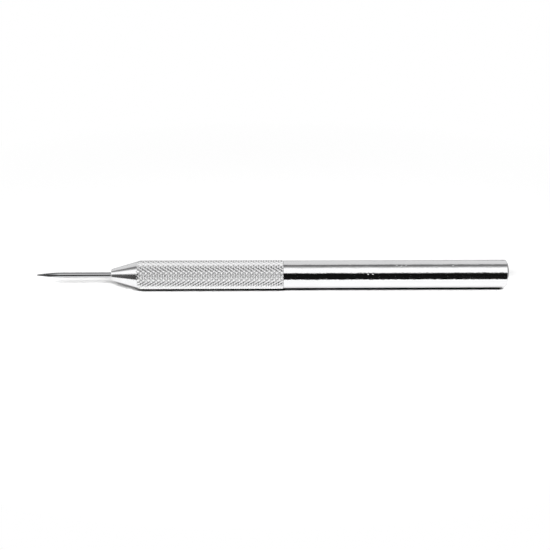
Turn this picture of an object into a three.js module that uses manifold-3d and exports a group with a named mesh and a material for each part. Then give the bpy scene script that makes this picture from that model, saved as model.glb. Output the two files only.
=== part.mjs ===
// Hobby scriber: a steel needle held by a split collet inside a knurled aluminium sleeve,
// which screws onto a plain aluminium barrel. Millimetres, +Z up.
// The tool lies along X with its point towards -X, resting on the crests of its knurl,
// and the origin is on the surface under the middle of its length.

import * as THREE from "three";
import { mergeVertices } from "three/addons/utils/BufferGeometryUtils.js";
import Module from "manifold-3d";

// Needle
const needleDiameter = 1.524;
const needleReach = 21.3; // tip to the front face of the nose
const needleHeld = 22; // length behind the front face of the nose
const needlePointLength = 8.6; // ogival ground point
const needleEndChamfer = 0.15;
const needlePushBack = 10; // how far the loosened needle can be pushed back

// Bar stock and diamond knurl
const barDiameter = 7.9375;
const knurlRise = 0.156; // crests stand this far above the bar
const knurlDepth = 0.295; // crest to groove bottom
const knurlStarts = 28; // grooves of each hand
const knurlPitch = 1.414; // along the axis, between grooves of one hand
const knurlLength = 40.35;

// Sleeve
const noseFaceDiameter = 3.3;
const noseConeLength = 8.35;
const noseEdgeRadius = 0.2;
const noseLip = 0.8; // thickness of the front wall round the needle
const noseHoleClearance = 0.12;
const sleeveRearBevel = 0.15;
const sleeveMouthBevel = 0.3; // countersink of the tapped end

// Collet
const colletJawWall = 0.4; // at the front face
const colletHeadAngle = 14; // degrees, half angle of the gripping cone
const colletHeadLength = 3;
const colletBandLength = 1.2; // plain band behind the cone
const colletFingerWall = 0.6;
const colletFingerLength = 11;
const colletTailLength = 6;
const colletPegWall = 0.45;
const colletPegLength = 2.2;
const colletSlotWidth = 0.35;
const colletSlotRunIn = 0.8; // the saw cuts run on into the tail

// Thread and barrel
const threadDepth = 0.42; // tapped bore over the plain bore
const threadLength = 10;
const threadReliefLength = 1;
const tapRunOut = 1;
const barrelLength = 63.35; // shoulder to rear face
const barrelFrontBevel = 0.12;
const barrelEndChamfer = 0.4;

// Clearances
const slideClearance = 0.05; // needle in its collet
const seatClearance = 0.05; // collet head in its cone, and its tail on the barrel
const boreClearance = 0.12; // collet tail and barrel pilot in the sleeve
const threadClearance = 0.08;
const seamClearance = 0.02; // sleeve against the barrel's shoulder
const wellClearance = 0.2; // round the needle inside the barrel
const wellEndClearance = 1;

// Cutting tools: how far they run past, or stay clear of, what they don't cut
const cutterOverrun = 1;
const turningSpare = 0.1;

// Facets around each turned surface, and along its arcs
const needleSides = 24;
const colletSides = 32;
const boreSides = 40;
const noseSides = 56;
const barrelSides = 56;
const noseEdgeSteps = 3;
const needlePointSteps = 14;
const needlePointCrowding = 1.3; // above 1, the point's rings crowd towards the tip

// Radii, from the needle outwards
const needleRadius = needleDiameter / 2;
const barRadius = barDiameter / 2;
const crestRadius = barRadius + knurlRise;
const grooveRadius = crestRadius - knurlDepth;
const noseFaceRadius = noseFaceDiameter / 2;
const noseHoleRadius = needleRadius + noseHoleClearance;
const headSlope = Math.tan(THREE.MathUtils.degToRad(colletHeadAngle));
const colletBoreRadius = needleRadius + slideClearance;
const colletFrontRadius = colletBoreRadius + colletJawWall;
const colletHeadRadius = colletFrontRadius + colletHeadLength * headSlope;
const colletFingerRadius = colletBoreRadius + colletFingerWall;
const colletPegRadius = colletBoreRadius + colletPegWall;
const plainBoreRadius = colletHeadRadius + boreClearance;
const pilotRadius = plainBoreRadius - boreClearance;
const tappedBoreRadius = plainBoreRadius + threadDepth;
const threadRadius = tappedBoreRadius - threadClearance;
const pegSeatRadius = colletPegRadius + boreClearance;
const wellRadius = needleRadius + wellClearance;

// Stations along the axis, measured from the tip
const noseStation = needleReach;
const coneEndStation = noseStation + noseConeLength;
const sleeveEndStation = coneEndStation + knurlLength;
const rearStation = sleeveEndStation + barrelLength;
const needleEndStation = noseStation + needleHeld;
const lipStation = noseStation + noseLip;
const colletFrontStation = lipStation + seatClearance;
const colletConeEnd = colletFrontStation + colletHeadLength;
const colletBandEnd = colletConeEnd + colletBandLength;
const colletFingerEnd = colletBandEnd + colletFingerLength;
const colletTailEnd = colletFingerEnd + colletTailLength;
const colletPegEnd = colletTailEnd + colletPegLength;
const pilotStation = colletTailEnd + seatClearance;
const pegSeatEnd = colletPegEnd + seatClearance;
const shoulderStation = sleeveEndStation + seamClearance;
const threadEnd = shoulderStation - threadReliefLength;
const threadStart = threadEnd - threadLength;
const tapStart = threadStart - tapRunOut;
const wellEnd = Math.max(needleEndStation + needlePushBack, pegSeatEnd) + wellEndClearance;

const wasm = await Module();
wasm.setup();

// Turn a profile of [radius, station] points about the tool's axis, which is Y here.
function turned(profile, sides) {
  const points = profile.map(([radius, station]) => new THREE.Vector2(radius, station));
  return new THREE.LatheGeometry(points, sides);
}

// A closed geometry as a solid that can be joined and cut.
function solidFrom(geometry) {
  const bare = geometry.clone();
  bare.deleteAttribute("normal");
  bare.deleteAttribute("uv");
  const merged = mergeVertices(bare);
  return new wasm.Manifold(
    new wasm.Mesh({
      numProp: 3,
      vertProperties: merged.attributes.position.array,
      triVerts: new Uint32Array(merged.index.array),
    }),
  );
}

function geometryFrom(solid) {
  const mesh = solid.getMesh();
  const geometry = new THREE.BufferGeometry();
  geometry.setAttribute("position", new THREE.BufferAttribute(mesh.vertProperties, 3));
  geometry.setIndex(new THREE.BufferAttribute(mesh.triVerts, 1));
  geometry.computeVertexNormals();
  return geometry;
}

// Points on an arc of the given radius, from one angle to another, in degrees,
// with angle 0 towards larger radius and 90 towards larger stations.
function arc(centreRadius, centreStation, radius, fromAngle, toAngle, steps) {
  return Array.from({ length: steps + 1 }, (_, step) => {
    const angle = THREE.MathUtils.degToRad(fromAngle + ((toAngle - fromAngle) * step) / steps);
    return [
      centreRadius + radius * Math.cos(angle),
      centreStation + radius * Math.sin(angle),
    ];
  });
}

// The needle's point is a tangent ogive: an arc that starts at the tip and runs smoothly
// into the straight shank.
function needlePoint(steps) {
  const arcRadius = (needleRadius ** 2 + needlePointLength ** 2) / (2 * needleRadius);
  return Array.from({ length: steps + 1 }, (_, step) => {
    const station = needlePointLength * (step / steps) ** needlePointCrowding;
    const toShank = needlePointLength - station;
    const radius = Math.sqrt(arcRadius ** 2 - toShank ** 2) + needleRadius - arcRadius;
    return [step === 0 ? 0 : radius, station];
  });
}

function makeNeedle() {
  return turned(
    [
      ...needlePoint(needlePointSteps),
      [needleRadius, needleEndStation - needleEndChamfer],
      [needleRadius - needleEndChamfer, needleEndStation],
      [0, needleEndStation],
    ],
    needleSides,
  );
}

// A collet sawn into four jaws by two crossed slots. Its front cone closes on the needle
// when the sleeve draws it back, and a peg on its tail centres it in the barrel.
function makeCollet() {
  const body = solidFrom(
    turned(
      [
        [colletBoreRadius, colletFrontStation],
        [colletFrontRadius, colletFrontStation],
        [colletHeadRadius, colletConeEnd],
        [colletHeadRadius, colletBandEnd],
        [colletFingerRadius, colletBandEnd + (colletHeadRadius - colletFingerRadius)],
        [colletFingerRadius, colletFingerEnd],
        [colletHeadRadius, colletFingerEnd],
        [colletHeadRadius, colletTailEnd],
        [colletPegRadius, colletTailEnd],
        [colletPegRadius, colletPegEnd],
        [colletBoreRadius, colletPegEnd],
        [colletBoreRadius, colletFrontStation],
      ],
      colletSides,
    ),
  );
  const sawStart = colletFrontStation - cutterOverrun;
  const sawEnd = colletFingerEnd + colletSlotRunIn;
  const across = 2 * (colletHeadRadius + cutterOverrun);
  const cuts = [
    new THREE.BoxGeometry(colletSlotWidth, sawEnd - sawStart, across),
    new THREE.BoxGeometry(across, sawEnd - sawStart, colletSlotWidth),
  ].map((box) => solidFrom(box.translate(0, (sawStart + sawEnd) / 2, 0)));
  return geometryFrom(cuts.reduce((part, cut) => part.subtract(cut), body));
}

// A bar rolled with a diamond knurl. Grooves of both hands cross, and between the crossings
// stand four-sided points. Crossings and crests alternate round the bar and along it.
function knurledBar(fromStation, toStation) {
  const columns = 2 * knurlStarts;
  const rowStep = knurlPitch / 2;
  const rows = Math.ceil((toStation - fromStation) / rowStep);
  const isCrest = (column, row) => (column + row) % 2 !== 0;
  const at = (column, row) => row * columns + ((column + columns) % columns);
  const positions = [];
  for (let row = 0; row <= rows; row++) {
    for (let column = 0; column < columns; column++) {
      const angle = (column * Math.PI) / knurlStarts;
      const radius = isCrest(column, row) ? crestRadius : grooveRadius;
      positions.push(
        radius * Math.sin(angle),
        toStation - (rows - row) * rowStep,
        radius * Math.cos(angle),
      );
    }
  }
  const frontCentre = positions.length / 3;
  positions.push(0, toStation - rows * rowStep, 0);
  positions.push(0, toStation, 0);
  const faces = [];
  for (let row = 0; row <= rows; row++) {
    for (let column = 0; column < columns; column++) {
      if (!isCrest(column, row)) continue;
      const crest = at(column, row);
      const before = at(column - 1, row);
      const after = at(column + 1, row);
      if (row < rows) faces.push(crest, after, at(column, row + 1), crest, at(column, row + 1), before);
      if (row > 0) faces.push(crest, before, at(column, row - 1), crest, at(column, row - 1), after);
    }
  }
  for (let column = 0; column < columns; column++) {
    faces.push(frontCentre, at(column + 1, 0), at(column, 0));
    faces.push(frontCentre + 1, at(column, rows), at(column + 1, rows));
  }
  const bar = new THREE.BufferGeometry();
  bar.setAttribute("position", new THREE.Float32BufferAttribute(positions, 3));
  bar.setIndex(faces);
  return bar;
}

// The sleeve is cut from the knurled bar: its nose is turned to a cone, so that the grooves
// run out raggedly onto the cone, and it is bored, seated for the collet and tapped.
function makeSleeve() {
  const coneSlope = (crestRadius - noseFaceRadius) / noseConeLength;
  const coneAngle = THREE.MathUtils.radToDeg(Math.atan(coneSlope));
  // The edge of the nose is an arc between the flat face and the cone.
  const edgeHalfTurn = THREE.MathUtils.degToRad((90 - coneAngle) / 2);
  const edgeRadius = noseFaceRadius - noseEdgeRadius * Math.tan(edgeHalfTurn);
  const edgeStation = noseStation + noseEdgeRadius;
  // Past the cone the blank isn't turned, so the outside stays clear of the crests.
  const clearRadius = crestRadius + turningSpare;
  const outside = turned(
    [
      [0, noseStation],
      ...arc(edgeRadius, edgeStation, noseEdgeRadius, -90, -coneAngle, noseEdgeSteps),
      [clearRadius, coneEndStation + turningSpare / coneSlope],
      [clearRadius, sleeveEndStation - sleeveRearBevel - turningSpare],
      [crestRadius - sleeveRearBevel, sleeveEndStation],
      [0, sleeveEndStation],
    ],
    noseSides,
  );
  // A quarter of a column's turn keeps the edges of the cone off the knurl's own edges.
  const columnTurn = Math.PI / knurlStarts;
  outside.rotateY(columnTurn / 4);
  const seatFront = colletFrontRadius + seatClearance - (colletFrontStation - lipStation) * headSlope;
  const seatEnd = lipStation + (plainBoreRadius - seatFront) / headSlope;
  const inside = turned(
    [
      [0, noseStation - cutterOverrun],
      [noseHoleRadius, noseStation - cutterOverrun],
      [noseHoleRadius, lipStation],
      [seatFront, lipStation],
      [plainBoreRadius, seatEnd],
      [plainBoreRadius, tapStart],
      [tappedBoreRadius, tapStart + threadDepth],
      [tappedBoreRadius, sleeveEndStation - sleeveMouthBevel],
      [tappedBoreRadius + sleeveMouthBevel + cutterOverrun, sleeveEndStation + cutterOverrun],
      [0, sleeveEndStation + cutterOverrun],
    ],
    boreSides,
  );
  // The end faces cut the knurl halfway between two rows of crests.
  const halfRow = knurlPitch / 4;
  const bar = knurledBar(noseStation - halfRow, sleeveEndStation + halfRow);
  return geometryFrom(solidFrom(bar).intersect(solidFrom(outside)).subtract(solidFrom(inside)));
}

// The barrel: a plain handle with a threaded spigot and a longer pilot that carries the
// collet's tail, drilled so that the needle can be pushed back.
function makeBarrel() {
  const threadLead = threadRadius - pilotRadius; // bevel at the start of the thread
  return turned(
    [
      [0, wellEnd],
      [wellRadius, wellEnd],
      [wellRadius, pegSeatEnd],
      [pegSeatRadius, pegSeatEnd],
      [pegSeatRadius, pilotStation],
      [pilotRadius, pilotStation],
      [pilotRadius, threadStart],
      [threadRadius, threadStart + threadLead],
      [threadRadius, threadEnd],
      [pilotRadius, threadEnd],
      [pilotRadius, shoulderStation],
      [barRadius - barrelFrontBevel, shoulderStation],
      [barRadius, shoulderStation + barrelFrontBevel],
      [barRadius, rearStation - barrelEndChamfer],
      [barRadius - barrelEndChamfer, rearStation],
      [0, rearStation],
    ],
    barrelSides,
  );
}

const aluminium = new THREE.MeshStandardMaterial({
  color: 0xd4d5d7,
  roughness: 0.34,
  metalness: 1,
  flatShading: true,
});
const knurledAluminium = new THREE.MeshStandardMaterial({
  color: 0xc9cacc,
  roughness: 0.42,
  metalness: 1,
  flatShading: true,
});
const needleSteel = new THREE.MeshStandardMaterial({
  color: 0xb8babd,
  roughness: 0.24,
  metalness: 1,
  flatShading: true,
});
const colletSteel = new THREE.MeshStandardMaterial({
  color: 0x9a9b9e,
  roughness: 0.38,
  metalness: 1,
  flatShading: true,
});

function piece(name, geometry, material) {
  const mesh = new THREE.Mesh(geometry, material);
  mesh.name = name;
  return mesh;
}

// The turned pieces share the axis Y, which is laid along +X here.
const scriber = new THREE.Group();
scriber.add(
  piece("needle", makeNeedle(), needleSteel),
  piece("collet", makeCollet(), colletSteel),
  piece("knurled_sleeve", makeSleeve(), knurledAluminium),
  piece("barrel", makeBarrel(), aluminium),
);
scriber.rotation.z = -Math.PI / 2;
scriber.position.set(-rearStation / 2, 0, crestRadius);

const part = new THREE.Group();
part.add(scriber);

export default part;
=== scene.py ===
import math

import bmesh
import bpy
from mathutils import Matrix, Vector


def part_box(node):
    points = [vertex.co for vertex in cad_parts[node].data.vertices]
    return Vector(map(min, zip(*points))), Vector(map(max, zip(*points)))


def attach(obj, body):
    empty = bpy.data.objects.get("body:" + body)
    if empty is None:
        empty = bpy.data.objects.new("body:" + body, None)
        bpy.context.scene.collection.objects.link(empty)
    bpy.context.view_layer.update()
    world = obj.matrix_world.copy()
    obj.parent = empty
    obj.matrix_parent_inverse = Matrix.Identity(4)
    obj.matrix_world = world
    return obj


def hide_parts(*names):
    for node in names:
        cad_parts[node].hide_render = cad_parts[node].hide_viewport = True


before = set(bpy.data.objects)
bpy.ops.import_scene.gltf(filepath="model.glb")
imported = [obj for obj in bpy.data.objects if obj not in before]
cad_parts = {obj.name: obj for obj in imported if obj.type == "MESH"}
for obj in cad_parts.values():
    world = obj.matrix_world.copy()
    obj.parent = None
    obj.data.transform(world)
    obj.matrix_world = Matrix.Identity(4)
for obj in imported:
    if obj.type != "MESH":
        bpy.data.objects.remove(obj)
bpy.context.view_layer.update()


# Hobby scriber, dressed. Every size is in metres. The outer stations and radii come from the
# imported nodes. A size that the part's source has too is the same there, except where a comment
# says otherwise.
MM = 0.001

# Needle
NEEDLE_POINT = 8.6 * MM
NEEDLE_POINT_CROWDING = 1.3  # above 1, the point's rings crowd towards the tip
NEEDLE_TIP_RADIUS = 0.12 * MM  # the source has a sharp tip, and here it is honed round
NEEDLE_END_CHAMFER = 0.15 * MM

# Bar stock and diamond knurl
BAR_RADIUS = 7.9375 / 2 * MM
KNURL_DEPTH = 0.295 * MM
KNURL_STARTS = 28
KNURL_PITCH = 1.414 * MM
KNURL_LENGTH = 40.35 * MM
KNURL_SPARE = 1.5 * MM  # the rolled bar starts so far ahead of the knurl
FRONT_FAN = 12 * MM  # the fans that close the rolled bar meet so far past the sleeve's ends
REAR_FAN = 2 * MM

# Sleeve
NOSE_FACE_RADIUS = 1.65 * MM
NOSE_EDGE = 0.3 * MM  # worn a little rounder than in the source
NOSE_LIP = 0.8 * MM
NOSE_HOLE_RADIUS = 0.882 * MM
SLEEVE_REAR_BEVEL = 0.15 * MM
SLEEVE_MOUTH_BEVEL = 0.3 * MM

# Collet
COLLET_BORE = 0.812 * MM
COLLET_FRONT = 1.212 * MM
COLLET_HEAD = 1.96 * MM
COLLET_FINGER = 1.412 * MM
COLLET_PEG = 1.262 * MM
COLLET_CONE_LENGTH = 3 * MM
COLLET_BAND_LENGTH = 1.2 * MM
COLLET_FINGER_LENGTH = 11 * MM
COLLET_TAIL_LENGTH = 6 * MM
COLLET_SLOT = 0.35 * MM
COLLET_SLOT_RUN_IN = 0.8 * MM
HEAD_SLOPE = math.tan(math.radians(14))

# Barrel and thread
PLAIN_BORE = 2.08 * MM
PILOT = 1.96 * MM
TAPPED_BORE = 2.5 * MM
THREAD_CREST = 2.42 * MM
THREAD_DEPTH = 0.42 * MM
THREAD_PITCH = 0.8 * MM
THREAD_LENGTH = 10 * MM
THREAD_RELIEF = 1 * MM
THREAD_RUN_OUT = 0.15 * MM
TAP_RUN_OUT = 1 * MM
PEG_SEAT = 1.382 * MM
PEG_SEAT_DEPTH = 2.2 * MM
WELL = 0.962 * MM
WELL_DEPTH = 8.7 * MM  # behind the seat of the peg
DRILL_POINT = math.radians(59)
BARREL_FRONT_BEVEL = 0.12 * MM
BARREL_END_CHAMFER = 0.4 * MM
SEAT_CLEARANCE = 0.05 * MM
SEAM = 0.02 * MM  # between the sleeve and the barrel's shoulder

# Corners are eased by this much where a tool or a file has broken them, but by no more than a
# share of the edge beside them. A corner blunter than the angle is left as it is.
EASE = 0.04 * MM
EASE_SHARE = 0.45
EASE_BELOW = math.radians(165)
EASE_STEPS = 4
EASE_OF_HOLE = 0.06 * MM  # along the axis, at the needle's hole
CUTTER_OVERRUN = 1 * MM
TURNING_SPARE = 0.1 * MM

# Facets around each turned surface, and along its arcs
NEEDLE_SEGMENTS = 96
POINT_STEPS = 40
TIP_STEPS = 6
COLLET_SEGMENTS = 96
BARREL_SEGMENTS = 192
NOSE_SEGMENTS = 256
BORE_SEGMENTS = 128
NOSE_EDGE_STEPS = 8
SMOOTH_BELOW = math.radians(30)

# One groove of the knurl, across from one bottom to the next: place, and height up to 1
KNURL_PROFILE = [(0, 0), (0.05, 0.05), (0.32, 0.9), (0.38, 1), (0.62, 1), (0.68, 0.9), (0.95, 0.05)]

# One turn of the thread, along the axis: place in the turn, and height up to 1
THREAD_PROFILE = [
    (0, 0),
    (0.25, 0),
    (0.27, 0.03),
    (0.5425, 0.97),
    (0.5625, 1),
    (0.6875, 1),
    (0.7075, 0.97),
    (0.98, 0.03),
]

# Stations along X and the height of the axis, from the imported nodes
needle_low, needle_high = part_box("needle")
collet_low, collet_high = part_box("collet")
sleeve_low, sleeve_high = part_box("knurled_sleeve")
barrel_low, barrel_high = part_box("barrel")
NEEDLE_RADIUS = (needle_high.z - needle_low.z) / 2
AXIS = (needle_high.z + needle_low.z) / 2
CREST_RADIUS = (sleeve_high.z - sleeve_low.z) / 2
GROOVE_RADIUS = CREST_RADIUS - KNURL_DEPTH
CONE_END = sleeve_high.x - KNURL_LENGTH
SHOULDER = sleeve_high.x + SEAM
THREAD_END = SHOULDER - THREAD_RELIEF
THREAD_START = THREAD_END - THREAD_LENGTH


class Turning:
    """A turned form, built ring by ring about the tool's axis. Rings that meet share their points."""

    def __init__(self, segments):
        self.segments = segments
        self.places = {}
        self.points = []
        self.faces = []
        self.materials = []

    def point(self, column, x, radius):
        """The number of the point at a column, a station and a radius."""
        column %= self.segments
        key = (round(x, 9), round(radius, 9), column if radius > 0 else 0)
        if key not in self.places:
            turn = 2 * math.pi * column / self.segments
            self.places[key] = len(self.points)
            self.points.append((x, -radius * math.sin(turn), AXIS + radius * math.cos(turn)))
        return self.places[key]

    def face(self, corners, material):
        """A face without the corners that fall together, if three are left."""
        kept = [corner for place, corner in enumerate(corners) if corner != corners[place - 1]]
        if len(set(kept)) > 2:
            self.faces.append(kept)
            self.materials.append(material)

    def turn(self, profile, material=0):
        """Rings at each (x, radius) of the profile, joined in order."""
        for (x, radius), (next_x, next_radius) in zip(profile, profile[1:]):
            for column in range(self.segments):
                corners = [
                    self.point(column, x, radius),
                    self.point(column + 1, x, radius),
                    self.point(column + 1, next_x, next_radius),
                    self.point(column, next_x, next_radius),
                ]
                self.face(corners, material)

    def thread(self, start, end, radius_at, material=0):
        """A right-handed thread between two plain rings. radius_at(x, height) shapes its ends."""
        first = math.floor((start - THREAD_START) / THREAD_PITCH) - 1
        last = math.ceil((end - THREAD_START) / THREAD_PITCH) + 1
        rows = [(turn + place, height) for turn in range(first, last) for place, height in THREAD_PROFILE]

        def at(row, column):
            place, height = rows[row]
            x = THREAD_START + THREAD_PITCH * (place + column / self.segments)
            x = min(max(x, start), end)
            return self.point(column, x, radius_at(x, height))

        for row in range(len(rows) - 1):
            for column in range(self.segments):
                corners = [
                    at(row, column),
                    at(row, column + 1),
                    at(row + 1, column + 1),
                    at(row + 1, column),
                ]
                self.face(corners, material)


def softened(profile):
    """The profile with each clear corner turned into a small arc."""
    eased = [profile[0]]
    for before, corner, after in zip(profile, profile[1:], profile[2:]):
        here = Vector(corner)
        back = Vector(before) - here
        on = Vector(after) - here
        if back.angle(on) > EASE_BELOW:
            eased.append(corner)
            continue
        start = here + back.normalized() * min(EASE, back.length * EASE_SHARE)
        end = here + on.normalized() * min(EASE, on.length * EASE_SHARE)
        for step in range(EASE_STEPS + 1):
            share = step / EASE_STEPS
            eased.append(tuple(start.lerp(here, share).lerp(here.lerp(end, share), share)))
    eased.append(profile[-1])
    return eased


def mesh_object(name, points, faces, face_materials, materials):
    """A closed mesh as an object, with its normals outwards."""
    mesh = bpy.data.meshes.new(name)
    mesh.from_pydata(points, [], faces)
    for material in materials:
        mesh.materials.append(material)
    mesh.polygons.foreach_set("material_index", face_materials)
    shape = bmesh.new()
    shape.from_mesh(mesh)
    bmesh.ops.recalc_face_normals(shape, faces=shape.faces)
    shape.to_mesh(mesh)
    shape.free()
    made = bpy.data.objects.new(name, mesh)
    bpy.context.scene.collection.objects.link(made)
    return made


def turned_object(name, turning, materials):
    return mesh_object(name, turning.points, turning.faces, turning.materials, materials)


def combine(target, cutter, operation):
    """Cut the cutter out of the target, or keep what both share. The cutter goes."""
    modifier = target.modifiers.new("cut", "BOOLEAN")
    modifier.operation = operation
    modifier.solver = "MANIFOLD"
    modifier.material_mode = "TRANSFER"
    modifier.object = cutter
    graph = bpy.context.evaluated_depsgraph_get()
    mesh = bpy.data.meshes.new_from_object(target.evaluated_get(graph))
    target.modifiers.clear()
    target.data = mesh
    bpy.data.objects.remove(cutter)


def smoothed(made):
    """Smooth shading, with the real edges kept crisp."""
    mesh = made.data
    mesh.polygons.foreach_set("use_smooth", [True] * len(mesh.polygons))
    mesh.set_sharp_from_angle(angle=SMOOTH_BELOW)
    return made


# Materials


def add(tree, kind, inputs=None, **settings):
    """A node with its settings made, and each input set or linked."""
    made = tree.nodes.new(kind)
    for name, value in settings.items():
        setattr(made, name, value)
    for socket, value in (inputs or {}).items():
        if isinstance(value, bpy.types.NodeSocket):
            tree.links.new(value, made.inputs[socket])
        else:
            made.inputs[socket].default_value = value
    return made


def maths(tree, operation, first, second=0.0):
    return add(tree, "ShaderNodeMath", {0: first, 1: second}, operation=operation).outputs[0]


def vectors(tree, operation, first, second):
    return add(tree, "ShaderNodeVectorMath", {0: first, 1: second}, operation=operation).outputs[0]


def distance(tree, first, second=(0, 0, 0)):
    made = add(tree, "ShaderNodeVectorMath", {0: first, 1: second}, operation="DISTANCE")
    return made.outputs["Value"]


def place_of(tree):
    return add(tree, "ShaderNodeTexCoord").outputs["Object"]


def radius_of(tree, place):
    """Distance from the tool's axis."""
    from_axis = vectors(tree, "SUBTRACT", place, (0, 0, AXIS))
    return distance(tree, vectors(tree, "MULTIPLY", from_axis, (0, 1, 1)))


def x_of(tree, place):
    return add(tree, "ShaderNodeSeparateXYZ", {0: place}).outputs["X"]


def noise(tree, place, per_metre, detail, shift=0.0):
    """Noise with so many features to the metre along each direction."""
    stretched = vectors(tree, "ADD", vectors(tree, "MULTIPLY", place, per_metre), (shift, shift, shift))
    settings = {"Vector": stretched, "Scale": 1.0, "Detail": detail}
    return add(tree, "ShaderNodeTexNoise", settings).outputs["Fac"]


def spread(tree, value, low, high, to_low=0.0, to_high=1.0):
    """The value's range from low to high, spread over another, and held at its ends."""
    settings = {"Value": value, "From Min": low, "From Max": high, "To Min": to_low, "To Max": to_high}
    return add(tree, "ShaderNodeMapRange", settings).outputs["Result"]


def varied(tree, values, at_low, at_high, margin=0.3):
    """A number that follows a noise. A noise keeps clear of 0 and 1 by about the margin."""
    return spread(tree, values, margin, 1 - margin, at_low, at_high)


def bumped(tree, height, depth, normal=None):
    """A normal bent by a height that runs from 0 to 1 over the depth."""
    settings = {"Height": height, "Distance": depth, "Strength": 1.0}
    if normal is not None:
        settings["Normal"] = normal
    return add(tree, "ShaderNodeBump", settings).outputs["Normal"]


def mixed_number(tree, amount, first, second):
    """The first number at 0, the second at 1."""
    return add(tree, "ShaderNodeMix", {"Factor": amount, "A": first, "B": second}).outputs["Result"]


def tinted(tree, amount, low, high):
    """A colour between two, by the amount."""
    mixed = add(tree, "ShaderNodeMixRGB", {"Fac": amount, "Color1": (*low, 1), "Color2": (*high, 1)})
    return mixed.outputs["Color"]


def stepped(tree, value, steps):
    """Brightness by a value, in straight lines through (value, brightness) steps."""
    low, high = steps[0][0], steps[-1][0]
    brightest = max(tone for place, tone in steps)
    ramp = add(tree, "ShaderNodeValToRGB", {"Fac": spread(tree, value, low, high)})
    stops = ramp.color_ramp.elements
    while len(stops) < len(steps):
        stops.new(1.0)
    for stop, (place, tone) in zip(stops, steps):
        stop.position = (place - low) / (high - low)
        stop.color = (tone / brightest, tone / brightest, tone / brightest, 1)
    return maths(tree, "MULTIPLY", ramp.outputs["Color"], brightest)


def metal(name):
    made = bpy.data.materials.new(name)
    made.use_nodes = True
    shader = made.node_tree.nodes["Principled BSDF"]
    shader.inputs["Metallic"].default_value = 1.0
    return made, made.node_tree, shader


def finish_metal(tree, shader, colour, roughness, normal):
    tree.links.new(colour, shader.inputs["Base Color"])
    tree.links.new(roughness, shader.inputs["Roughness"])
    tree.links.new(normal, shader.inputs["Normal"])


def ring_place(tree, place):
    """A place that is the same all round the axis, for marks left by turning."""
    settings = {"X": x_of(tree, place), "Y": radius_of(tree, place), "Z": 0.0}
    return add(tree, "ShaderNodeCombineXYZ", settings).outputs[0]


def ringed_metal(name, dark, light, rough, rings, depth, patches, shift, detail=2, steps=None):
    """Turned metal in a patchy tone. It has so many fine rings to the metre, and maybe wider steps."""
    made, tree, shader = metal(name)
    place = place_of(tree)
    around = ring_place(tree, place)
    tones = noise(tree, place, (patches, patches, patches), detail=detail, shift=shift)
    fine = noise(tree, around, (rings, rings, 1), detail=3)
    normal = None
    if steps is not None:
        wide = noise(tree, around, (steps, steps, 1), detail=2, shift=5)
        normal = bumped(tree, wide, depth)
    normal = bumped(tree, fine, depth, normal)
    colour = tinted(tree, varied(tree, tones, 0, 1), dark, light)
    finish_metal(tree, shader, colour, varied(tree, fine, *rough, margin=0.25), normal)
    return made


def on_bar(x, degrees_from_top):
    """A point on the barrel, turned from its top towards the back."""
    angle = math.radians(degrees_from_top)
    return (x * MM, BAR_RADIUS * math.sin(angle), AXIS + BAR_RADIUS * math.cos(angle))


# Drawn bar. Each kind of mark has its features to the metre along X, Y and Z, and its depth.
DRAWN_DARK = (0.86, 0.86, 0.87)
DRAWN_LIGHT = (0.9, 0.9, 0.905)
DRAWN_PATCHES = (70, 260, 260)
DRAWN_LINES = (45, 9000, 9000)
DRAWN_LINE_DEPTH = 0.0006 * MM
DRAWN_ROUGH = (0.07, 0.11)  # from one side of a line to the other
DRAWN_WAVES = (300, 700, 700)
DRAWN_WAVE_DEPTH = 0.028 * MM
DRAWN_RIPPLES = (1600, 2600, 2600)
DRAWN_RIPPLE_DEPTH = 0.014 * MM
SCRATCHES = (220, 5200, 5200)
SCRATCH_FROM = 0.7  # only the noise's highest values are scratches
SCRATCH_TO = 0.76
SCRATCH_DEPTH = 0.002 * MM
SCRATCH_SHARE = 0.35  # of the roughness of a nick
# Small dents of use along the top of the barrel, by millimetres along X and degrees from its top
NICK_PLACES = [(27.2, -44), (28.5, -44), (35.3, -12), (36.6, -14), (37.9, -12), (51.2, -11)]
NICKS = [on_bar(x, turn) for x, turn in NICK_PLACES]
NICK_BOTTOM = 0.05 * MM
NICK_RIM = 0.3 * MM
NICK_DEPTH = 0.04 * MM
NICK_ROUGH = 0.16


def drawn_aluminium():
    """Bright bar stock: faint lines along its length, a little waviness, handling marks."""
    made, tree, shader = metal("drawn_aluminium")
    place = place_of(tree)
    lines = noise(tree, place, DRAWN_LINES, detail=3)
    waves = noise(tree, place, DRAWN_WAVES, detail=2, shift=3)
    ripples = noise(tree, place, DRAWN_RIPPLES, detail=2, shift=31)
    patches = noise(tree, place, DRAWN_PATCHES, detail=3, shift=11)
    scratches = noise(tree, place, SCRATCHES, detail=1, shift=23)
    scratches = spread(tree, scratches, SCRATCH_FROM, SCRATCH_TO)
    nicks = 0.0
    for spot in NICKS:
        nick = spread(tree, distance(tree, place, spot), NICK_BOTTOM, NICK_RIM, 1.0, 0.0)
        nicks = maths(tree, "MAXIMUM", nicks, nick)
    marks = maths(tree, "MAXIMUM", maths(tree, "MULTIPLY", scratches, SCRATCH_SHARE), nicks)
    colour = tinted(tree, varied(tree, patches, 0, 1), DRAWN_DARK, DRAWN_LIGHT)
    rougher = maths(tree, "MULTIPLY", marks, NICK_ROUGH)
    rough = maths(tree, "ADD", varied(tree, lines, *DRAWN_ROUGH), rougher)
    normal = bumped(tree, waves, DRAWN_WAVE_DEPTH)
    normal = bumped(tree, ripples, DRAWN_RIPPLE_DEPTH, normal)
    normal = bumped(tree, lines, DRAWN_LINE_DEPTH, normal)
    normal = bumped(tree, scratches, -SCRATCH_DEPTH, normal)
    normal = bumped(tree, nicks, -NICK_DEPTH, normal)
    finish_metal(tree, shader, colour, rough, normal)
    return made


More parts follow.
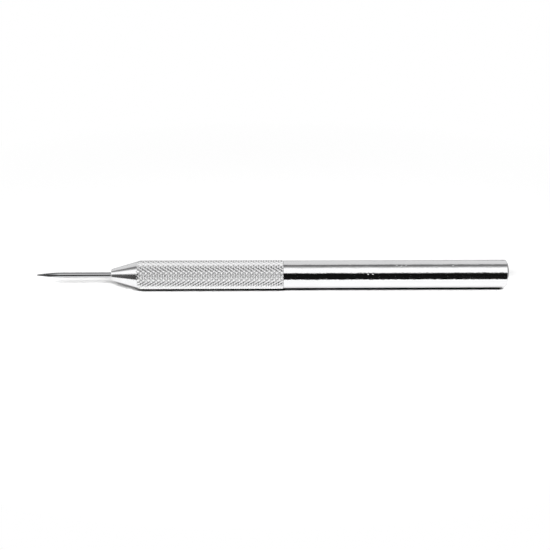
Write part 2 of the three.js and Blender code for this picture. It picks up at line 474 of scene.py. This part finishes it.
# Knurl
# The grooves' colour, darker as painted shade, and the colour of the tops, lighter from wear
KNURL_SHADED_GROOVE = (0.86, 0.86, 0.865)
KNURL_BRIGHT = (0.94, 0.94, 0.945)
KNURL_WEAR_AND_SHADE_FROM = 0.55  # shares of its height between which the colour goes from painted groove shade to full wear
KNURL_WEAR_AND_SHADE_TO = 0.95
KNURL_PATCHES = (240, 240, 240)
KNURL_PATCH_FROM = 0.25  # values of the noise between which the wear goes from least to full
KNURL_PATCH_TO = 0.6
KNURL_LEAST_WEAR = 0.6
KNURL_ROUGH = (0.24, 0.15)  # in the grooves, and on the worn tops
KNURL_GRAIN = (2600, 2600, 2600)
KNURL_GRAIN_DEPTH = 0.0025 * MM
KNURL_GRAIN_ROUGH = (-0.03, 0.04)  # what the grain adds


def knurl_aluminium():
    """Rolled diamonds: bright tops polished by wear, and grooves that are duller and, as painted shade, a
    little darker.
    """
    made, tree, shader = metal("knurled_aluminium")
    place = place_of(tree)
    height = spread(tree, radius_of(tree, place), GROOVE_RADIUS, CREST_RADIUS)
    grain = noise(tree, place, KNURL_GRAIN, detail=3)
    patches = noise(tree, place, KNURL_PATCHES, detail=2, shift=17)
    patches = spread(tree, patches, KNURL_PATCH_FROM, KNURL_PATCH_TO, KNURL_LEAST_WEAR, 1.0)
    # Colour by height: towards the grooves it darkens as painted shade, towards the tops it brightens
    # with wear, more in some patches
    wear_and_groove_shade = maths(tree, "MULTIPLY", spread(tree, height, KNURL_WEAR_AND_SHADE_FROM, KNURL_WEAR_AND_SHADE_TO), patches)
    colour = tinted(tree, wear_and_groove_shade, KNURL_SHADED_GROOVE, KNURL_BRIGHT)
    rough = spread(tree, wear_and_groove_shade, 0, 1, *KNURL_ROUGH)
    rough = maths(tree, "ADD", rough, varied(tree, grain, *KNURL_GRAIN_ROUGH))
    finish_metal(tree, shader, colour, rough, bumped(tree, grain, KNURL_GRAIN_DEPTH))
    return made


# Needle. Its point has grinding rings, and painted shade darkens it towards the tip, by millimetres from
# the tip.
GROUND_DARK = (0.44, 0.445, 0.455)
GROUND_LIGHT = (0.5, 0.505, 0.51)
GROUND_PATCHES = (150, 700, 700)
GROUND_LINES = (60, 12000, 12000)
GROUND_LINE_DEPTH = 0.0002 * MM
GROUND_LINE_ROUGH = (0.04, 0.065)
GROUND_RINGS = (14000, 14000, 1)
GROUND_RING_DEPTH = 0.0008 * MM
GROUND_RING_ROUGH = (0.01, 0.05)  # what the rings add
RINGS_TO = 0.8  # the rings are clear up to this share of the point, and end with the point
POINT_SHADE = [(0, 0.04), (0.8, 0.05), (1.7, 0.3), (2.3, 0.32), (3.4, 0.26), (6.5, 1), (7, 1)]


def ground_steel():
    """Hardened wire: a polished shank, and a point with fine grinding rings and a tip darkened by painted
    shade.
    """
    made, tree, shader = metal("ground_steel")
    place = place_of(tree)
    from_tip = maths(tree, "SUBTRACT", x_of(tree, place), needle_low.x)
    on_point = spread(tree, from_tip, NEEDLE_POINT, RINGS_TO * NEEDLE_POINT)
    rings = noise(tree, ring_place(tree, place), GROUND_RINGS, detail=2)
    lines = noise(tree, place, GROUND_LINES, detail=2, shift=4)
    patches = noise(tree, place, GROUND_PATCHES, detail=2, shift=13)
    colour = tinted(tree, varied(tree, patches, 0, 1), GROUND_DARK, GROUND_LIGHT)
    # Painted shade: the point's colour is darkened, most at the tip
    tone = stepped(tree, maths(tree, "DIVIDE", from_tip, MM), POINT_SHADE)
    colour = vectors(tree, "MULTIPLY", colour, tone)
    rougher = maths(tree, "MULTIPLY", on_point, varied(tree, rings, *GROUND_RING_ROUGH))
    rough = maths(tree, "ADD", varied(tree, lines, *GROUND_LINE_ROUGH), rougher)
    normal = bumped(tree, maths(tree, "MULTIPLY", rings, on_point), GROUND_RING_DEPTH)
    normal = bumped(tree, lines, GROUND_LINE_DEPTH, normal)
    finish_metal(tree, shader, colour, rough, normal)
    return made


drawn = drawn_aluminium()
turned = ringed_metal(
    "turned_aluminium",
    dark=(0.84, 0.84, 0.85),
    light=(0.89, 0.89, 0.895),
    rough=(0.08, 0.15),
    rings=9000,
    depth=0.0009 * MM,
    patches=300,
    shift=9,
    steps=1500,
)
knurled = knurl_aluminium()
# Inside walls, left as drilled and tapped
bored = ringed_metal(
    "bored_aluminium",
    dark=(0.66, 0.66, 0.67),
    light=(0.78, 0.78, 0.785),
    rough=(0.24, 0.38),
    rings=5000,
    depth=0.003 * MM,
    patches=500,
    shift=7,
)
ground = ground_steel()
# A darker, slightly oily tone
collet_steel = ringed_metal(
    "turned_steel",
    dark=(0.44, 0.44, 0.45),
    light=(0.53, 0.53, 0.535),
    rough=(0.2, 0.34),
    rings=7000,
    depth=0.0018 * MM,
    patches=420,
    shift=19,
    detail=3,
)


# Pieces


def needle_point():
    """A tangent ogive that runs into the straight shank, with its tip honed round."""
    half_angle = 2 * math.atan(NEEDLE_RADIUS / NEEDLE_POINT)
    # The ogive alone would end this far ahead of the tip, and a small ball takes its place there.
    ahead = NEEDLE_TIP_RADIUS * (1 / math.sin(half_angle) - 1)
    arc = (NEEDLE_RADIUS**2 + (NEEDLE_POINT + ahead) ** 2) / (2 * NEEDLE_RADIUS)
    profile = [(needle_low.x, 0)]
    for step in range(1, TIP_STEPS):
        turn = (math.pi / 2 - half_angle) * step / TIP_STEPS
        x = needle_low.x + NEEDLE_TIP_RADIUS * (1 - math.cos(turn))
        profile.append((x, NEEDLE_TIP_RADIUS * math.sin(turn)))
    ball_end = NEEDLE_TIP_RADIUS * (1 - math.sin(half_angle))
    for step in range(POINT_STEPS + 1):
        along = ball_end + (NEEDLE_POINT - ball_end) * (step / POINT_STEPS) ** NEEDLE_POINT_CROWDING
        radius = math.sqrt(arc**2 - (NEEDLE_POINT - along) ** 2) + NEEDLE_RADIUS - arc
        profile.append((needle_low.x + along, radius))
    return profile


def make_needle():
    form = Turning(NEEDLE_SEGMENTS)
    end = [
        (needle_low.x + NEEDLE_POINT, NEEDLE_RADIUS),
        (needle_high.x - NEEDLE_END_CHAMFER, NEEDLE_RADIUS),
        (needle_high.x, NEEDLE_RADIUS - NEEDLE_END_CHAMFER),
        (needle_high.x, 0),
    ]
    form.turn(needle_point())
    form.turn(softened(end))
    return turned_object("scribing_needle", form, [ground])


def make_collet():
    front = collet_low.x
    cone_end = front + COLLET_CONE_LENGTH
    band_end = cone_end + COLLET_BAND_LENGTH
    finger_end = band_end + COLLET_FINGER_LENGTH
    tail_end = finger_end + COLLET_TAIL_LENGTH
    profile = [
        (front, (COLLET_BORE + COLLET_FRONT) / 2),
        (front, COLLET_FRONT),
        (cone_end, COLLET_HEAD),
        (band_end, COLLET_HEAD),
        (band_end + (COLLET_HEAD - COLLET_FINGER), COLLET_FINGER),
        (finger_end, COLLET_FINGER),
        (finger_end, COLLET_HEAD),
        (tail_end, COLLET_HEAD),
        (tail_end, COLLET_PEG),
        (collet_high.x, COLLET_PEG),
        (collet_high.x, COLLET_BORE),
        (front, COLLET_BORE),
        (front, (COLLET_BORE + COLLET_FRONT) / 2),
    ]
    form = Turning(COLLET_SEGMENTS)
    form.turn(softened(profile))
    collet = turned_object("split_collet", form, [collet_steel])
    saw_start = front - CUTTER_OVERRUN
    saw_end = finger_end + COLLET_SLOT_RUN_IN
    across = 2 * (COLLET_HEAD + CUTTER_OVERRUN)
    for wide, high in ((COLLET_SLOT, across), (across, COLLET_SLOT)):
        blade = bmesh.new()
        size = Matrix.Diagonal((saw_end - saw_start, wide, high, 1))
        spot = Matrix.Translation(((saw_start + saw_end) / 2, 0, AXIS))
        bmesh.ops.create_cube(blade, size=1, matrix=spot @ size)
        mesh = bpy.data.meshes.new("saw")
        blade.to_mesh(mesh)
        blade.free()
        mesh.materials.append(collet_steel)
        saw = bpy.data.objects.new("saw", mesh)
        bpy.context.scene.collection.objects.link(saw)
        combine(collet, saw, "DIFFERENCE")
    return collet


def knurled_bar():
    """A bar with grooves of both hands rolled into it, past both ends of the knurl."""
    steps = len(KNURL_PROFILE)
    # The sleeve's rear face cuts the knurl halfway between two rows of crests
    last_row = sleeve_high.x + KNURL_PITCH / 4
    rows = math.ceil((last_row - CONE_END + KNURL_SPARE) / (KNURL_PITCH / 2))
    full_turn = 2 * KNURL_STARTS * steps
    places = {}
    points = []
    faces = []

    def at(a, b):
        """The point where line a of one hand crosses line b of the other."""
        key = ((a + b) % full_turn, a - b)
        if key not in places:
            place_a, height_a = KNURL_PROFILE[a % steps]
            place_b, height_b = KNURL_PROFILE[b % steps]
            across = a // steps + place_a
            back = b // steps + place_b
            turn = math.pi * (across + back) / KNURL_STARTS
            x = last_row + KNURL_PITCH * (across - back) / 2
            radius = GROOVE_RADIUS + KNURL_DEPTH * min(height_a, height_b)
            places[key] = len(points)
            points.append((x, -radius * math.sin(turn), AXIS + radius * math.cos(turn)))
        return places[key]

    def add_cell(first_a, first_b):
        """One groove by one groove. Faces on its diagonals are split there, where the flanks meet."""
        for i in range(steps):
            for j in range(steps):
                a, b = first_a + i, first_b + j
                corners = [at(a, b), at(a + 1, b), at(a + 1, b + 1), at(a, b + 1)]
                if i == j:
                    faces.append([corners[0], corners[1], corners[2]])
                    faces.append([corners[0], corners[2], corners[3]])
                elif i + j == steps - 1:
                    faces.append([corners[0], corners[1], corners[3]])
                    faces.append([corners[1], corners[2], corners[3]])
                else:
                    faces.append(corners)

    for row in range(-rows, 1):
        for column in range(KNURL_STARTS):
            add_cell((column + row) * steps, column * steps)
    # Each ragged end is closed by a fan. The front one meets far ahead, clear of the cone.
    edges = {edge: True for face in faces for edge in zip(face, face[1:] + face[:1])}
    open_edges = [(start, end) for start, end in edges if (end, start) not in edges]
    middle = (sleeve_low.x + sleeve_high.x) / 2
    front, rear = len(points), len(points) + 1
    points.append((sleeve_low.x - FRONT_FAN, 0, AXIS))
    points.append((sleeve_high.x + REAR_FAN, 0, AXIS))
    for start, end in open_edges:
        faces.append([end, start, front if points[start][0] < middle else rear])
    return mesh_object("knurled_sleeve_body", points, faces, [0] * len(faces), [knurled])


def sleeve_blank():
    """The outside as the lathe leaves it: nose, cone and the bevel at the rear."""
    cone_length = CONE_END - sleeve_low.x
    slope = (CREST_RADIUS - NOSE_FACE_RADIUS) / cone_length
    half_turn = (math.pi / 2 - math.atan(slope)) / 2
    edge_radius = NOSE_FACE_RADIUS - NOSE_EDGE * math.tan(half_turn)
    profile = [(sleeve_low.x, 0)]
    for step in range(NOSE_EDGE_STEPS + 1):
        angle = -math.pi / 2 + 2 * half_turn * step / NOSE_EDGE_STEPS
        x = sleeve_low.x + NOSE_EDGE + NOSE_EDGE * math.sin(angle)
        profile.append((x, edge_radius + NOSE_EDGE * math.cos(angle)))
    clear = CREST_RADIUS + TURNING_SPARE
    profile.append((CONE_END + TURNING_SPARE / slope, clear))
    profile.append((sleeve_high.x - SLEEVE_REAR_BEVEL - TURNING_SPARE, clear))
    profile.append((sleeve_high.x, CREST_RADIUS - SLEEVE_REAR_BEVEL))
    profile.append((sleeve_high.x, 0))
    form = Turning(NOSE_SEGMENTS)
    form.turn(profile)
    return turned_object("blank", form, [turned])


def sleeve_bore():
    """The inside: hole for the needle, seat for the collet, plain bore and tapped end."""
    lip = sleeve_low.x + NOSE_LIP
    seat_front = COLLET_FRONT + SEAT_CLEARANCE - SEAT_CLEARANCE * HEAD_SLOPE
    seat_end = lip + (PLAIN_BORE - seat_front) / HEAD_SLOPE
    tap_start = THREAD_START - TAP_RUN_OUT
    tap_end = sleeve_high.x - SLEEVE_MOUTH_BEVEL

    def tapped(x, height):
        cut = TAPPED_BORE - THREAD_DEPTH * (1 - height)
        started = min(cut, PLAIN_BORE + (x - tap_start))
        return max(started, TAPPED_BORE - (tap_end - x))

    hole = [
        (sleeve_low.x - CUTTER_OVERRUN, 0),
        (sleeve_low.x - CUTTER_OVERRUN, NOSE_HOLE_RADIUS + CUTTER_OVERRUN / 2),
        (sleeve_low.x, NOSE_HOLE_RADIUS + EASE),
        (sleeve_low.x + EASE_OF_HOLE, NOSE_HOLE_RADIUS),
        (lip, NOSE_HOLE_RADIUS),
        (lip, seat_front),
        (seat_end, PLAIN_BORE),
        (tap_start, PLAIN_BORE),
    ]
    mouth = [
        (tap_end, TAPPED_BORE),
        (sleeve_high.x + CUTTER_OVERRUN, TAPPED_BORE + SLEEVE_MOUTH_BEVEL + CUTTER_OVERRUN),
        (sleeve_high.x + CUTTER_OVERRUN, 0),
    ]
    form = Turning(BORE_SEGMENTS)
    form.turn(hole)
    form.thread(tap_start, tap_end, tapped)
    form.turn(mouth)
    return turned_object("bore", form, [bored])


def make_sleeve():
    sleeve = knurled_bar()
    combine(sleeve, sleeve_blank(), "INTERSECT")
    combine(sleeve, sleeve_bore(), "DIFFERENCE")
    return sleeve


def make_barrel():
    """Handle, shoulder, threaded spigot and pilot, drilled from the front."""
    pilot_front = barrel_low.x
    seat_end = pilot_front + PEG_SEAT_DEPTH
    well_end = seat_end + WELL_DEPTH
    drill_tip = well_end + WELL / math.tan(DRILL_POINT)
    inside = [
        (drill_tip, 0),
        (well_end, WELL),
        (seat_end, WELL),
        (seat_end, PEG_SEAT),
        (pilot_front, PEG_SEAT),
        (pilot_front, (PEG_SEAT + PILOT) / 2),
    ]
    spigot = [(pilot_front, (PEG_SEAT + PILOT) / 2), (pilot_front, PILOT), (THREAD_START, PILOT)]
    shoulder = [
        (THREAD_END, PILOT),
        (SHOULDER, PILOT),
        (SHOULDER, BAR_RADIUS - BARREL_FRONT_BEVEL),
        (SHOULDER + BARREL_FRONT_BEVEL, BAR_RADIUS),
    ]
    # The plain length stops short of the chamfer, which leaves room for its eased corner
    handle = [shoulder[-1], (barrel_high.x - BARREL_END_CHAMFER - 2 * EASE, BAR_RADIUS)]
    end = [
        handle[-1],
        (barrel_high.x - BARREL_END_CHAMFER, BAR_RADIUS),
        (barrel_high.x, BAR_RADIUS - BARREL_END_CHAMFER),
        (barrel_high.x, 0),
    ]

    def cut(x, height):
        lead = PILOT + (x - THREAD_START)
        tail = PILOT + (THREAD_END - x) * (THREAD_CREST - PILOT) / THREAD_RUN_OUT
        return min(THREAD_CREST - THREAD_DEPTH * (1 - height), lead, tail)

    materials = [drawn, turned, bored]
    as_drawn, as_turned, as_bored = range(len(materials))
    form = Turning(BARREL_SEGMENTS)
    form.turn(softened(inside), as_bored)
    form.turn(softened(spigot), as_turned)
    form.thread(THREAD_START, THREAD_END, cut, as_turned)
    form.turn(softened(shoulder), as_turned)
    form.turn(handle, as_drawn)
    form.turn(softened(end), as_turned)
    return turned_object("turned_barrel", form, materials)


PIECES = [
    (make_needle, "needle", "point", "needle_steel"),
    (make_collet, "collet", "chuck", "collet_steel"),
    (make_sleeve, "knurled_sleeve", "grip", "knurled_aluminium"),
    (make_barrel, "barrel", "handle", "barrel_aluminium"),
]
for make, node, body, slot in PIECES:
    piece = smoothed(make())
    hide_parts(node)
    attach(piece, body)


# Studio

WHITE = (1, 1, 1, 1)

FLOOR_HALF = 20.0
FLOOR_COLOUR = 0.9
FLOOR_SEEN = 1.2  # the camera sees the floor so much brighter, so that it comes out white
# Between two ovals round the tool the floor fades to plain white, except in the metal. They are
# given by their half widths, and are so many times as long as they are wide.
FAR_FLOOR_FROM = 0.045
FAR_FLOOR_TO = 0.08
FAR_FLOOR_LENGTH = 2.0

# Close to the tool the camera sees the floor so many times as bright, by millimetres along Y, which
# makes the shadow lighter: painted light. The strip right under the tool it sees darker: a painted
# contact shadow.
SHADOW_LIFT = [
    (-5, 1),
    (-4, 1.2),
    (-3.1, 1.8),
    (-2.7, 2.2),
    (-2.3, 2.2),
    (-1.3, 1.9),
    (-0.3, 2.1),
    (0.5, 2.1),
    (1, 1.6),
    (1.4, 1.65),
    (1.8, 1.8),
    (2.2, 1.75),
    (2.6, 1.4),
    (3, 1.2),
    (3.6, 1.08),
    (4.5, 1),
]
# That strip of painted contact shadow: its half width, which grows by so much under the sleeve and fades
# out over its edge, and what is left of the floor's brightness in it
CONTACT_WIDTH = 2.1 * MM
CONTACT_WIDER = 0.23 * MM
CONTACT_EDGE = 0.4 * MM
CONTACT_SHADOW_TONE = 0.02
# Along X it fades in before the end of the cone, narrows at the shoulder and fades out at the rear
CONTACT_FADE_IN = (CONE_END - 3 * MM, CONE_END + 0.3 * MM)
CONTACT_NARROWS = (SHOULDER, SHOULDER + 1 * MM)
CONTACT_FADE_OUT = (barrel_high.x - 1.6 * MM, barrel_high.x - 0.5 * MM)

# The floor as it shows in the metal is painted reflection, along Y: bright in front of the tool, a little
# less bright behind it, and dark from about 0.115 m in front, as if the table's front edge were there.
# Towards both sides it goes grey.
GLOSS_ALONG_Y = [(-0.125, 0.03), (-0.115, 1.2), (0.004, 1.2), (0.009, 0.82), (0.2, 0.82)]
GLOSS_SIDE_FROM = 0.078
GLOSS_SIDE_TO = 0.092
GLOSS_SIDE = 0.3
GLOSS_SECOND_HAND = 0.05  # of the floor's light that reaches the floor again by way of the metal
ONE_BOUNCE = 0.5  # a ray's count of bounces is above this once it has left the floor

# Two lamps side by side overhead: the key towards the camera, and a weaker fill behind it.
# Each runs from one angle above the horizon to another, and has a brightness. They light the
# floor. The metal doesn't see them: the room below has a bright part in their place.
LAMP_HEIGHT = 0.6
LAMP_WIDTH = 1.2
LAMPS = [("key", 55.3, 77, 4.9), ("fill", 77, 100.5, 1.8)]


def ray_kinds(tree):
    return add(tree, "ShaderNodeLightPath").outputs


def painted_contact_shadow(tree, parts):
    """1 in the strip of painted contact shadow under the tool, and 0 outside it."""
    off_line = maths(tree, "ABSOLUTE", parts["Y"])
    wider = spread(tree, parts["X"], *CONTACT_NARROWS, CONTACT_WIDER, 0.0)
    off_line = maths(tree, "SUBTRACT", off_line, wider)
    strip = spread(tree, off_line, CONTACT_WIDTH, CONTACT_WIDTH + CONTACT_EDGE, 1.0, 0.0)
    strip = maths(tree, "MULTIPLY", strip, spread(tree, parts["X"], *CONTACT_FADE_IN))
    return maths(tree, "MULTIPLY", strip, spread(tree, parts["X"], *CONTACT_FADE_OUT, 1.0, 0.0))


def make_floor():
    """A white table. Far away it fades into plain white, as an endless sweep does."""
    material = bpy.data.materials.new("floor")
    material.use_nodes = True
    tree = material.node_tree
    tree.nodes.clear()
    place = place_of(tree)
    parts = add(tree, "ShaderNodeSeparateXYZ", {0: place}).outputs
    rays = ray_kinds(tree)
    # Painted light lifts the shadow beside the tool, and the strip under it gets a painted contact shadow
    lift = stepped(tree, maths(tree, "DIVIDE", parts["Y"], MM), SHADOW_LIFT)
    lift = mixed_number(tree, painted_contact_shadow(tree, parts), lift, CONTACT_SHADOW_TONE)
    seen = maths(tree, "MULTIPLY", lift, FLOOR_SEEN)
    # Painted reflection: how bright the floor shows in the metal, by place along Y and X
    sideways = maths(tree, "ABSOLUTE", parts["X"])
    aside = spread(tree, sideways, GLOSS_SIDE_FROM, GLOSS_SIDE_TO, 1.0, GLOSS_SIDE)
    in_gloss = maths(tree, "MULTIPLY", stepped(tree, parts["Y"], GLOSS_ALONG_Y), aside)
    second_hand = maths(tree, "GREATER_THAN", rays["Diffuse Depth"], ONE_BOUNCE)
    in_gloss = mixed_number(tree, second_hand, in_gloss, GLOSS_SECOND_HAND)
    level = mixed_number(tree, rays["Is Glossy Ray"], 1.0, in_gloss)
    level = mixed_number(tree, rays["Is Camera Ray"], level, seen)
    level = maths(tree, "MULTIPLY", level, FLOOR_COLOUR)
    colour = add(tree, "ShaderNodeCombineXYZ", {"X": level, "Y": level, "Z": level}).outputs[0]
    lit = add(tree, "ShaderNodeBsdfDiffuse", {"Color": colour})
    far = add(tree, "ShaderNodeEmission", {"Color": WHITE, "Strength": 1.0})
    from_middle = distance(tree, vectors(tree, "DIVIDE", place, (FAR_FLOOR_LENGTH, 1, 1)))
    not_gloss = maths(tree, "SUBTRACT", 1.0, rays["Is Glossy Ray"])
    fade = maths(tree, "MULTIPLY", spread(tree, from_middle, FAR_FLOOR_FROM, FAR_FLOOR_TO), not_gloss)
    mixed = add(tree, "ShaderNodeMixShader", {0: fade, 1: lit.outputs[0], 2: far.outputs[0]})
    add(tree, "ShaderNodeOutputMaterial", {"Surface": mixed.outputs[0]})
    mesh = bpy.data.meshes.new("floor")
    corners = [(x * FLOOR_HALF, y * FLOOR_HALF, 0) for x, y in ((-1, -1), (1, -1), (1, 1), (-1, 1))]
    mesh.from_pydata(corners, [], [(0, 1, 2, 3)])
    mesh.materials.append(material)
    floor = bpy.data.objects.new("floor", mesh)
    bpy.context.scene.collection.objects.link(floor)


def make_lamps():
    for name, from_angle, to_angle, brightness in LAMPS:
        low = -LAMP_HEIGHT / math.tan(math.radians(from_angle))
        high = -LAMP_HEIGHT / math.tan(math.radians(to_angle))
        lamp = bpy.data.lights.new(name, "AREA")
        lamp.shape = "RECTANGLE"
        lamp.size = LAMP_WIDTH
        lamp.size_y = high - low
        lamp.energy = brightness * math.pi * LAMP_WIDTH * (high - low)
        holder = bpy.data.objects.new(name, lamp)
        holder.location = (0, (low + high) / 2, LAMP_HEIGHT)
        holder.visible_glossy = False
        bpy.context.scene.collection.objects.link(holder)


# The room as it shows in the metal, by angle from the horizon on the camera's side over the top
# to the horizon behind. A dark room in front, the lamps overhead, a grey gap, and a pale backdrop.
ROOM = [
    (0, 0.008),
    (40, 0.006),
    (51, 0.015),
    (56, 1.15),
    (92, 1.15),
    (99, 0.64),
    (105, 0.4),
    (110, 0.26),
    (116, 0.18),
    (125, 0.15),
    (132, 0.72),
    (180, 0.8),
]
# Beside the tool the room is pale, and in line with its rear end grey. By the direction's X.
SIDE_SHARE = [
    (-1, 1),
    (-0.9, 1),
    (-0.74, 0.12),
    (-0.62, 0.05),
    (-0.5, 0),
    (0.28, 0),
    (0.5, 1),
    (1, 1),
]
SIDE_TONE = [(-1, 1), (0.75, 0.95), (0.9, 0.38), (1, 0.38)]
ROOM_LIGHT = 0.03  # what the room adds to the lamps on the floor


def make_world():
    world = bpy.data.worlds.new("room")
    bpy.context.scene.world = world
    world.use_nodes = True
    tree = world.node_tree
    tree.nodes.clear()
    direction = add(tree, "ShaderNodeTexCoord").outputs["Generated"]
    parts = add(tree, "ShaderNodeSeparateXYZ", {0: direction}).outputs
    angle = maths(tree, "ARCTAN2", parts["Z"], maths(tree, "MULTIPLY", parts["Y"], -1.0))
    middle = stepped(tree, maths(tree, "DEGREES", angle), ROOM)
    share = stepped(tree, parts["X"], SIDE_SHARE)
    in_metal = mixed_number(tree, share, middle, stepped(tree, parts["X"], SIDE_TONE))
    rays = ray_kinds(tree)
    strength = mixed_number(tree, rays["Is Glossy Ray"], ROOM_LIGHT, in_metal)
    strength = mixed_number(tree, rays["Is Camera Ray"], strength, 1.0)
    room = add(tree, "ShaderNodeBackground", {"Color": WHITE, "Strength": strength})
    add(tree, "ShaderNodeOutputWorld", {"Surface": room.outputs[0]})


make_floor()
make_lamps()
make_world()


# Camera

VIEW_DISTANCE = 285 * MM
VIEW_ELEVATION = math.radians(44.7)
VIEW_WIDTH = 156.28 * MM  # of the tool's plane across the image
SENSOR = 36.0  # in millimetres, as the camera has it
NEAREST = 0.01
FARTHEST = 100.0
AIM_X = 1.04 * MM
AIM_BELOW = 0.198 * MM
ROLL = -0.0032  # in radians


def make_camera():
    camera = bpy.data.cameras.new("camera")
    camera.sensor_width = SENSOR
    camera.lens = SENSOR * VIEW_DISTANCE / VIEW_WIDTH
    camera.clip_start = NEAREST
    camera.clip_end = FARTHEST
    holder = bpy.data.objects.new("camera", camera)
    bpy.context.scene.collection.objects.link(holder)
    back = Vector((0, -math.cos(VIEW_ELEVATION), math.sin(VIEW_ELEVATION)))
    up = Vector((0, math.sin(VIEW_ELEVATION), math.cos(VIEW_ELEVATION)))
    aim = Vector((AIM_X, 0, AXIS)) - up * AIM_BELOW
    level = (-back).to_track_quat("-Z", "Y").to_matrix().to_4x4()
    rolled = level @ Matrix.Rotation(ROLL, 4, "Z")
    holder.matrix_world = Matrix.Translation(aim + back * VIEW_DISTANCE) @ rolled
    bpy.context.scene.camera = holder


make_camera()
bpy.context.scene.view_settings.view_transform = "Standard"
